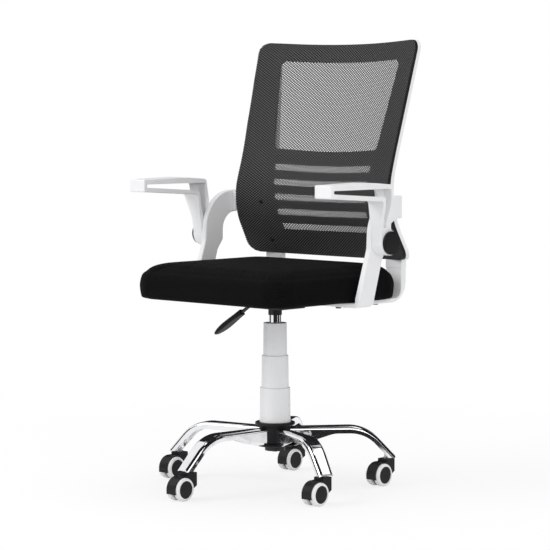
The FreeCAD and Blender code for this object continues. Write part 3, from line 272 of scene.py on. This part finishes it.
def sandwichFabric(name, look):
    # spacer fabric: a fine hexagonal net of yarn over a dark ground
    finish = Finish(name)
    yarn = holeField(finish, finish.coords("UV"), look).smooth(*look["yarnEdges"])
    lint = finish.noise(*look["lint"])
    tint = yarn * (lint * look["lintTint"] + look["leastTint"])
    return finish.set(
        Base_Color=finish.mixColour(tint, look["shade"], look["light"]),
        Roughness=lint * look["lintRough"] + look["rough"],
        Normal=finish.bump(yarn + lint * look["lintBump"], look["depth"], look["bump"]),
        Specular_IOR_Level=look["specular"],
        Sheen_Weight=look["sheen"],
        Sheen_Roughness=look["sheenRough"],
    )


meshLook = {
    "across": 0.0084, "along": 0.0062,
    "open": 0.46, "lumbarOpen": 0.39, "lumbarTop": (0.235, 0.265), "edge": 0.07,
    # light is the painted highlight on the yarn knots, shade the painted shade at the hole edges
    "light": (0.17, 0.17, 0.175, 1), "shade": (0.006, 0.006, 0.0066, 1), "leastTint": 0.7,
    "highlightEdges": (0.5, 0.95), "lint": (500.0, 3.0), "lintTint": 0.6, "lintRough": 0.2,
    "rough": 0.6, "depth": 0.0004, "bump": 0.6, "specular": 0.3,
}


def openMesh(name, look):
    # knitted open mesh: staggered holes cut by alpha, smaller at the lumbar,
    # and a painted highlight on the yarn knots between holes, fading to painted shade at the hole
    # edges
    finish = Finish(name)
    weave = finish.coords("UV")
    field = holeField(finish, weave, look)
    _, along = finish.split(weave)
    upper = along.smooth(*look["lumbarTop"])
    hole = upper * (look["open"] - look["lumbarOpen"]) + look["lumbarOpen"]
    lint = finish.noise(*look["lint"])
    # painted highlight: the yarn knots between holes are pale, the yarn at the hole edges is left in
    # painted shade
    paintedKnotHighlight = field.smooth(*look["highlightEdges"]) * (lint * look["lintTint"] + look["leastTint"])
    return finish.set(
        Base_Color=finish.mixColour(paintedKnotHighlight.clamp(), look["shade"], look["light"]),
        Alpha=(field - hole).smooth(-look["edge"], look["edge"]),
        Roughness=lint * look["lintRough"] + look["rough"],
        Normal=finish.bump(field, look["depth"], look["bump"]),
        Specular_IOR_Level=look["specular"],
    )


whitePlastic = mouldedPlastic("whitePolypropylene", whitePlasticLook, mouldLook)
blackPlastic = mouldedPlastic("blackNylon", blackPlasticLook, mouldLook)
slotFinish = {
    "white_plastic": whitePlastic,
    "black_plastic": blackPlastic,
    "chrome": plating("chromePlate", chromeLook),
    "steel": turnedSteel("turnedSteel", steelLook),
    "tyre": paleTyre("paleTyre", tyreLook),
    "black_metal": powderCoat("blackPowderCoat", blackCoatLook),
}
seatFabric = sandwichFabric("seatSpacerFabric", seatLook)
backFabric = openMesh("backOpenMesh", meshLook)
for part in frame["record"]["subparts"]:
    material = slotFinish.get(part["material_slot"])
    if material:  # the two fabrics go on pieces made below
        node = nodes[part["node"]]
        node.data.materials.clear()
        node.data.materials.append(material)
print("finishes set")


def smoothFaces(mesh):
    mesh.polygons.foreach_set("use_smooth", np.full(len(mesh.polygons), True))


def gridMesh(name, points, closedU=False, capped=False):
    # quads over a grid of points, rows by columns, if asked joined round and closed at both ends
    rows, columns, _ = points.shape
    index = np.arange(rows * columns).reshape(rows, columns)
    ends = [index[0, ::-1].tolist(), index[-1].tolist()] if capped else []
    if closedU:
        index = np.concatenate([index, index[:, :1]], axis=1)
    corners = [index[:-1, :-1], index[:-1, 1:], index[1:, 1:], index[1:, :-1]]
    quads = np.stack(corners, axis=-1).reshape(-1, 4)
    mesh = bpy.data.meshes.new(name)
    mesh.from_pydata(points.reshape(-1, 3).tolist(), [], quads.tolist() + ends)
    smoothFaces(mesh)
    mesh.update()
    piece = bpy.data.objects.new(name, mesh)
    scene.collection.objects.link(piece)
    return piece


def setUv(mesh, perLoop):
    layer = mesh.uv_layers.new(name="weave")
    layer.data.foreach_set("uv", np.asarray(perLoop, dtype=np.float32).ravel())


def readVectors(items, key):
    # one row of three numbers for each vertex or face
    values = np.empty(len(items) * 3, dtype=np.float32)
    items.foreach_get(key, values)
    return values.reshape(-1, 3).astype(float)


def writePoints(mesh, points):
    mesh.vertices.foreach_set("co", points.astype(np.float32).ravel())


def loopVertices(mesh):
    # the vertex that each face corner uses
    corners = np.empty(len(mesh.loops), dtype=np.int32)
    mesh.loops.foreach_get("vertex_index", corners)
    return corners


def bentLine(t, start, corner, end, radius):
    # value along two straight runs that meet at a corner rounded by a tangent arc
    (t0, v0), (t1, v1), (t2, v2) = start, corner, end
    first = math.atan2(v1 - v0, t1 - t0)
    second = math.atan2(v2 - v1, t2 - t1)
    sign = 1.0 if second > first else -1.0
    reach = radius * abs(math.tan((second - first) / 2))
    tStart = t1 - reach * math.cos(first)
    vStart = v1 - reach * math.sin(first)
    tEnd = t1 + reach * math.cos(second)
    tCentre = tStart - sign * radius * math.sin(first)
    vCentre = vStart + sign * radius * math.cos(first)
    onArc = vCentre - sign * np.sqrt(np.maximum(radius ** 2 - (t - tCentre) ** 2, 0))
    straight = v1 + (t - t1) * np.where(t < t1, math.tan(first), math.tan(second))
    return np.where((t > tStart) & (t < tEnd), onArc, straight)


backSheet = {
    "axis": -0.460, "lumbar": 0.169,
    "top": (1.030, 0.2535), "knee": (0.6497, 0.1498), "low": (0.505, 0.228),
    "topHalf": 0.245, "topEdge": 1.024, "topDip": 0.012,
    "waistHalf": 0.233, "waist": 0.740, "sideRound": 0.9,
    "lowHalf": 0.244, "lowEdge": 0.523, "lowDip": 0.0065, "corner": 0.026, "archShare": 1.6,
    "columns": 161, "rows": 181, "passes": 6, "depth": 0.0006, "thickness": 0.0005,
}


def archEdge(x, half, edge, dip, share):
    # height of an edge that sags by dip in the middle
    radius = half ** 2 / (share * dip)
    return bentLine(x, (-half, edge), (0.0, edge - dip), (half, edge), radius)


def backDepth(x, z, look):
    # distance back of the sheet: its side line swept about an upright axis
    line = bentLine(z, look["low"], look["knee"], look["top"], look["lumbar"])
    return look["axis"] + np.sqrt((line - look["axis"]) ** 2 - x ** 2)


def backSheetPoints(look):
    # a square grid pulled out to the back's outline, with its corners rounded;
    # each pass takes the heights from the last widths, then the widths from those heights
    u, v = np.meshgrid(np.linspace(-1, 1, look["columns"]), np.linspace(0, 1, look["rows"]))
    lowSide = (look["lowEdge"], look["lowHalf"])
    waistSide = (look["waist"], look["waistHalf"])
    topSide = (look["topEdge"], look["topHalf"])
    x = u * look["waistHalf"]
    for _ in range(look["passes"]):
        low = archEdge(x, look["lowHalf"], look["lowEdge"], look["lowDip"], look["archShare"])
        high = archEdge(x, look["topHalf"], look["topEdge"], look["topDip"], look["archShare"])
        z = low + v * (high - low)
        side = bentLine(z, lowSide, waistSide, topSide, look["sideRound"])
        nearEnd = np.minimum(z - low, high - z)
        into = np.clip(look["corner"] - nearEnd, 0, look["corner"])
        half = side - look["corner"] + np.sqrt(look["corner"] ** 2 - into ** 2)
        x = u * half
    y = backDepth(x, z, look) + look["depth"]
    return np.stack([x, y, z], axis=-1)


def runLength(points, axis):
    # distance walked along rows or columns of the grid, from 0 at the first point
    steps = np.linalg.norm(np.diff(points, axis=axis), axis=2)
    start = np.zeros_like(np.take(steps, [0], axis=axis))
    return np.concatenate([start, np.cumsum(steps, axis=axis)], axis=axis)


def makeBackMesh(look):
    # the weave's map runs along the cloth in metres, from the middle out and the lower edge up
    points = backSheetPoints(look)
    piece = gridMesh("backMeshSheet", points)
    across = runLength(points, 1)
    across = across - across.mean(axis=1, keepdims=True)
    along = runLength(points, 0)
    place = np.stack([across, along], axis=-1).reshape(-1, 2)
    setUv(piece.data, place[loopVertices(piece.data)])
    piece.data.materials.append(backFabric)
    thick = piece.modifiers.new("thick", "SOLIDIFY")
    thick.thickness = look["thickness"]
    thick.offset = 0.0
    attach(piece, "seat")
    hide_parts("back_mesh")


seatPad = {
    "half": 0.238, "front": -0.246, "rear": 0.190, "low": 0.4366, "edge": 0.494, "crown": 0.5165,
    "corner": 0.060, "cornerShare": 0.4, "leastCorner": 0.006, "leastRun": 0.001,
    "shrink": 0.003, "around": 240,
    # loops from the middle of the base up the wall, as share of the wall's height and inset
    "wallLoops": [(0.0, 0.200), (0.0, 0.120), (0.0, 0.040), (0.0, 0.009), (0.06, 0.006),
                  (0.18, 0.003), (0.5, 0.0), (0.8, 0.0012)],
    "edgeDrop": 0.002, "edgeInset": 0.005,
    # loops over the top, as share of the rise and inset
    "topLoops": [(0.25, 0.011), (0.48, 0.022), (0.66, 0.045), (0.84, 0.090), (0.96, 0.150),
                 (1.0, 0.205)],
    "voxel": 0.005, "held": 0.004, "pressure": 4.0, "tension": 15.0, "frames": 20, "cap": 0.006,
    "seam": 0.4985, "seamDepth": 0.0022, "seamWidth": 0.0034, "topFacing": 0.62,
}


def roundedRectangle(count, halfX, halfY, corner):
    # even walk round a rectangle with quarter-circle corners, by the length of its runs and arcs
    innerX, innerY = halfX - corner, halfY - corner
    arc = math.pi / 2 * corner
    lengths = np.array([2 * innerY, arc, 2 * innerX, arc, 2 * innerY, arc, 2 * innerX, arc])
    stops = np.concatenate([[0], np.cumsum(lengths)])
    walk = np.linspace(0, stops[-1], count, endpoint=False)
    x = np.empty(count)
    y = np.empty(count)
    # a run has its start and direction, an arc its centre and first angle
    runs = {0: (halfX, -innerY, 0, 1), 2: (innerX, halfY, -1, 0),
            4: (-halfX, innerY, 0, -1), 6: (-innerX, -halfY, 1, 0)}
    arcs = {1: (innerX, innerY, 0.0), 3: (-innerX, innerY, math.pi / 2),
            5: (-innerX, -innerY, math.pi), 7: (innerX, -innerY, 1.5 * math.pi)}
    for index in range(len(lengths)):
        here = (walk >= stops[index]) & (walk < stops[index + 1])
        step = walk[here] - stops[index]
        if index in arcs:
            centreX, centreY, turn = arcs[index]
            x[here] = centreX + corner * np.cos(turn + step / corner)
            y[here] = centreY + corner * np.sin(turn + step / corner)
        else:
            startX, startY, alongX, alongY = runs[index]
            x[here] = startX + alongX * step
            y[here] = startY + alongY * step
    return x, y


def seatPadPoints(look):
    # loops of a rounded rectangle, drawn in at the foot, full at the waist,
    # rolled over and domed on top
    wall = look["edge"] - look["low"]
    rise = look["crown"] - look["edge"]
    levels = [(look["low"] + share * wall, inset) for share, inset in look["wallLoops"]]
    levels += [(look["edge"] - look["edgeDrop"], look["edgeInset"])]
    levels += [(look["edge"] + share * rise, inset) for share, inset in look["topLoops"]]
    halfY = (look["rear"] - look["front"]) / 2
    middle = (look["rear"] + look["front"]) / 2
    loops = []
    for z, inset in levels:
        inset = inset + look["shrink"]
        corner = max(look["corner"] - look["cornerShare"] * inset, look["leastCorner"])
        corner = min(corner, halfY - inset - look["leastRun"])
        x, y = roundedRectangle(look["around"], look["half"] - inset, halfY - inset, corner)
        loops.append(np.stack([x, y + middle, np.full_like(x, z)], axis=-1))
    return np.stack(loops)


def bakeModifiers(piece):
    graph = bpy.context.evaluated_depsgraph_get()
    mesh = bpy.data.meshes.new_from_object(piece.evaluated_get(graph))
    piece.modifiers.clear()
    piece.data = mesh


def evenOut(piece, look):
    remesh = piece.modifiers.new("even", "REMESH")
    remesh.mode = "VOXEL"
    remesh.voxel_size = look["voxel"]
    bakeModifiers(piece)


def inflate(piece, look):
    # cloth under pressure with its base held, and the movement capped
    before = readVectors(piece.data.vertices, "co")
    base = piece.vertex_groups.new(name="base")
    resting = np.nonzero(before[:, 2] < look["low"] + look["held"])[0]
    base.add(resting.tolist(), 1.0, "REPLACE")
    cloth = piece.modifiers.new("cloth", "CLOTH")
    cloth.settings.use_pressure = True
    cloth.settings.uniform_pressure_force = look["pressure"]
    cloth.settings.effector_weights.gravity = 0.0
    cloth.settings.vertex_group_mass = "base"
    cloth.settings.tension_stiffness = look["tension"]
    cloth.point_cache.frame_start = 1
    cloth.point_cache.frame_end = look["frames"]
    for step in range(1, look["frames"] + 1):
        scene.frame_set(step)
    bakeModifiers(piece)
    scene.frame_set(1)
    move = readVectors(piece.data.vertices, "co") - before
    size = np.linalg.norm(move, axis=1, keepdims=True)
    share = np.minimum(1.0, look["cap"] / np.maximum(size, 1e-9))
    writePoints(piece.data, before + move * share)
    print("seat inflated, most moved", round(float(size.max()), 4))


def pressSeam(mesh, look):
    # draws the surface in, by a bell curve over its height,
    # along the line where the top panel is sewn to the side band
    points = readVectors(mesh.vertices, "co")
    normals = readVectors(mesh.vertices, "normal")
    offLine = (points[:, 2] - look["seam"]) / look["seamWidth"]
    pull = look["seamDepth"] * np.exp(-offLine ** 2)
    writePoints(mesh, points - normals * pull[:, None])
    mesh.update()


def weaveOnFaces(mesh, look):
    # flat layout of the cloth: top by plan, sides by run and height
    counts = np.empty(len(mesh.polygons), dtype=np.int32)
    mesh.polygons.foreach_get("loop_total", counts)
    faceOf = np.repeat(np.arange(len(counts)), counts)
    facing = np.abs(readVectors(mesh.polygons, "normal")[faceOf])
    place = readVectors(mesh.vertices, "co")[loopVertices(mesh)]
    onTop = facing[:, 2] > look["topFacing"]
    onFront = facing[:, 1] > facing[:, 0]
    u = np.where(onTop | onFront, place[:, 0], place[:, 1])
    v = np.where(onTop, place[:, 1], place[:, 2])
    setUv(mesh, np.stack([u, v], axis=-1))


def makeSeatPad(look):
    piece = gridMesh("seatPad", seatPadPoints(look), closedU=True, capped=True)
    evenOut(piece, look)
    inflate(piece, look)
    pressSeam(piece.data, look)
    weaveOnFaces(piece.data, look)
    smoothFaces(piece.data)
    piece.data.materials.clear()
    piece.data.materials.append(seatFabric)
    soft = piece.modifiers.new("soft", "SUBSURF")
    soft.levels = 1
    soft.render_levels = 1
    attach(piece, "seat")
    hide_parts("seat_cushion")
    print("seat pad:", len(piece.data.vertices), "points")


backScrews = {
    "places": [(0.176, 0.645), (0.176, 0.553)], "sides": 24, "slopeStep": 0.001,
    "radius": 0.0048, "height": 0.0022, "socket": 0.0022, "sink": 0.0005,
    # side view from the rim in: shares of radius and height, then of socket and height
    "head": [(1.0, 0.3), (0.85, 0.75), (0.6, 1.0)],
    "hollow": [(1.1, 1.0), (1.0, 0.9), (0.95, 0.2)],
    "tip": 0.0001, "tipLevel": 0.15,
}


def sheetPoint(x, z):
    return np.array([x, float(backDepth(x, z, backSheet)), z])


def sheetFrame(x, z, step):
    # a point of the back sheet, with unit vectors across it, up it and out of its face
    at = sheetPoint(x, z)
    across = sheetPoint(x + step, z) - at
    across = across / np.linalg.norm(across)
    up = sheetPoint(x, z + step) - at
    up = up / np.linalg.norm(up)
    out = np.cross(across, up)
    return at, across, up, out / np.linalg.norm(out)


def screwHead(name, x, z, look):
    # a turned button head with a hollow, its side view swept round an axis square to the sheet
    at, across, up, out = sheetFrame(x, z, look["slopeStep"])
    radius, height, socket = look["radius"], look["height"], look["socket"]
    profile = [(radius, -look["sink"])]
    profile += [(share * radius, level * height) for share, level in look["head"]]
    profile += [(share * socket, level * height) for share, level in look["hollow"]]
    profile += [(look["tip"], look["tipLevel"] * height)]
    reach, level = np.array(profile).T
    turn = np.linspace(0, 2 * np.pi, look["sides"], endpoint=False)
    ring = np.cos(turn)[None, :, None] * across + np.sin(turn)[None, :, None] * up
    points = at + reach[:, None, None] * ring + level[:, None, None] * out
    piece = gridMesh(name, points[:, ::-1], closedU=True)
    piece.data.materials.append(blackPlastic)
    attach(piece, "seat")


makeBackMesh(backSheet)
makeSeatPad(seatPad)
for index, (x, z) in enumerate(backScrews["places"]):
    for side, sign in (("Left", 1), ("Right", -1)):
        screwHead("backScrew%s%d" % (side, index + 1), sign * x, z, backScrews)
print("pieces made")


studio = {
    "floor": 12.0, "floorColour": (0.90, 0.90, 0.90, 1), "floorRough": 0.9,
    "floorGlow": 0.75, "nearFloor": 0.6, "farFloor": 1.8, "world": 0.64, "aim": (0, 0, 0.5),
    "key": {"at": (-2.2, -3.6, 3.4), "size": 2.6, "power": 98.0},
    "fill": {"at": (3.8, -1.6, 2.0), "size": 2.4, "power": 34.0},
    "top": {"at": (0.2, 0.6, 4.2), "size": 3.0, "power": 45.0},
}


def backdropRays(shading):
    # 1 for rays that should meet the plain background:
    # straight from the camera, off metal or through glass
    camera = shading.add("ShaderNodeLightPath", output="Is Camera Ray")
    either = camera.maths("MAXIMUM", camera.sibling("Is Glossy Ray"))
    return either.maths("MAXIMUM", camera.sibling("Is Transmission Ray"))


def makeFloor(look):
    # pale floor that glows to plain white away from the chair and keeps the shadow under it
    edges = np.array([-look["floor"], look["floor"]])
    x, y = np.meshgrid(edges, edges)
    floor = gridMesh("studioFloor", np.stack([x, y, np.zeros_like(x)], axis=-1))
    finish = Finish("studioFloor")
    finish.set(Base_Color=look["floorColour"], Roughness=look["floorRough"], Specular_IOR_Level=0.0)
    x, y = finish.split(finish.coords("Object"))
    away = (x * x + y * y).maths("SQRT").smooth(look["nearFloor"], look["farFloor"])
    glowing = (away * (1.0 - look["floorGlow"]) + look["floorGlow"]) * backdropRays(finish)
    glow = finish.add("ShaderNodeEmission", {}, {"Strength": 1.0})
    lit = Wire(finish, finish.shader.outputs[0])
    mix = finish.add("ShaderNodeMixShader", {}, {0: glowing, 1: lit, 2: glow})
    finish.feed(finish.tree.nodes["Material Output"].inputs[0], mix)
    floor.data.materials.append(finish.material)


# a turn and a width are angles round the chair, a side view is a list of radius and height
flags = {
    "colour": (0.02, 0.02, 0.022, 1), "rough": 0.9, "steps": 13,
    "ring": (-150, 20, 75, 135), "ringWidth": 36,
    "ringSide": [(0.8, 0.01), (5.5, 0.01), (5.5, 2.5)],
    "front": -42, "frontWidth": 76, "frontSide": [(0.6, 0.01), (5.5, 0.01), (5.5, 7.0)],
    "roof": 10, "roofWidth": 310, "roofSide": [(5.6, 2.2), (4.8, 4.6), (2.4, 6.2), (0.05, 6.6)],
}


def makeFlag(name, turn, width, side, steps, cloth):
    # a dark cloth, its side view swept round the chair, that shows only in the chrome
    angles = np.radians(np.linspace(turn - width / 2, turn + width / 2, steps))
    radius, height = np.array(side).T[:, :, None]
    x = radius * np.cos(angles)
    y = radius * np.sin(angles)
    z = np.broadcast_to(height, x.shape)
    flag = gridMesh(name, np.stack([x, y, z], axis=-1))
    flag.data.materials.append(cloth)
    flag.visible_camera = False
    flag.visible_diffuse = False
    flag.visible_shadow = False


def makeFlags(look):
    finish = Finish("studioFlag")
    cloth = finish.set(Base_Color=look["colour"], Roughness=look["rough"], Specular_IOR_Level=0.0)
    steps = look["steps"]
    for index, turn in enumerate(look["ring"]):
        name = "studioFlag%d" % (index + 1)
        makeFlag(name, turn, look["ringWidth"], look["ringSide"], steps, cloth)
    makeFlag("studioFlagFront", look["front"], look["frontWidth"], look["frontSide"], steps, cloth)
    makeFlag("studioFlagRoof", look["roof"], look["roofWidth"], look["roofSide"], steps, cloth)


def makeWorld(look):
    # white where the background is seen, a plain grey room for the light
    world = bpy.data.worlds.new("studio")
    world.use_nodes = True
    scene.world = world
    shading = Shading(world.node_tree)
    background = world.node_tree.nodes["Background"]
    strength = backdropRays(shading) * (1.0 - look["world"]) + look["world"]
    shading.feed(background.inputs["Color"], (1, 1, 1, 1))
    shading.feed(background.inputs["Strength"], strength)


def aimAt(thing, target):
    direction = np.array(target) - np.array(thing.location)
    level = math.hypot(direction[0], direction[1])
    pitch = math.pi / 2 + math.atan2(direction[2], level)
    thing.rotation_euler = (pitch, 0, math.atan2(-direction[0], direction[1]))


def makeLamp(name, look, target):
    lamp = bpy.data.lights.new(name, "AREA")
    lamp.shape = "SQUARE"
    lamp.size = look["size"]
    lamp.energy = look["power"]
    thing = bpy.data.objects.new(name, lamp)
    thing.location = look["at"]
    aimAt(thing, target)
    scene.collection.objects.link(thing)


photoCamera = {
    "at": (3.535, -3.778, 0.876), "pitch": 85.7, "turn": 43.1,
    "lens": 148.6, "sensor": 36.0, "farClip": 100,
}


def makeCamera(look):
    camera = bpy.data.cameras.new("photoCamera")
    camera.lens = look["lens"]
    camera.sensor_width = look["sensor"]
    camera.sensor_fit = "HORIZONTAL"
    camera.clip_end = look["farClip"]
    thing = bpy.data.objects.new("photoCamera", camera)
    thing.location = look["at"]
    thing.rotation_euler = (math.radians(look["pitch"]), 0, math.radians(look["turn"]))
    scene.collection.objects.link(thing)
    scene.camera = thing


makeFloor(studio)
makeFlags(flags)
makeWorld(studio)
for lampName in ("key", "fill", "top"):
    makeLamp(lampName + "Light", studio[lampName], studio["aim"])
makeCamera(photoCamera)
scene.view_settings.view_transform = "Standard"
print("studio set")
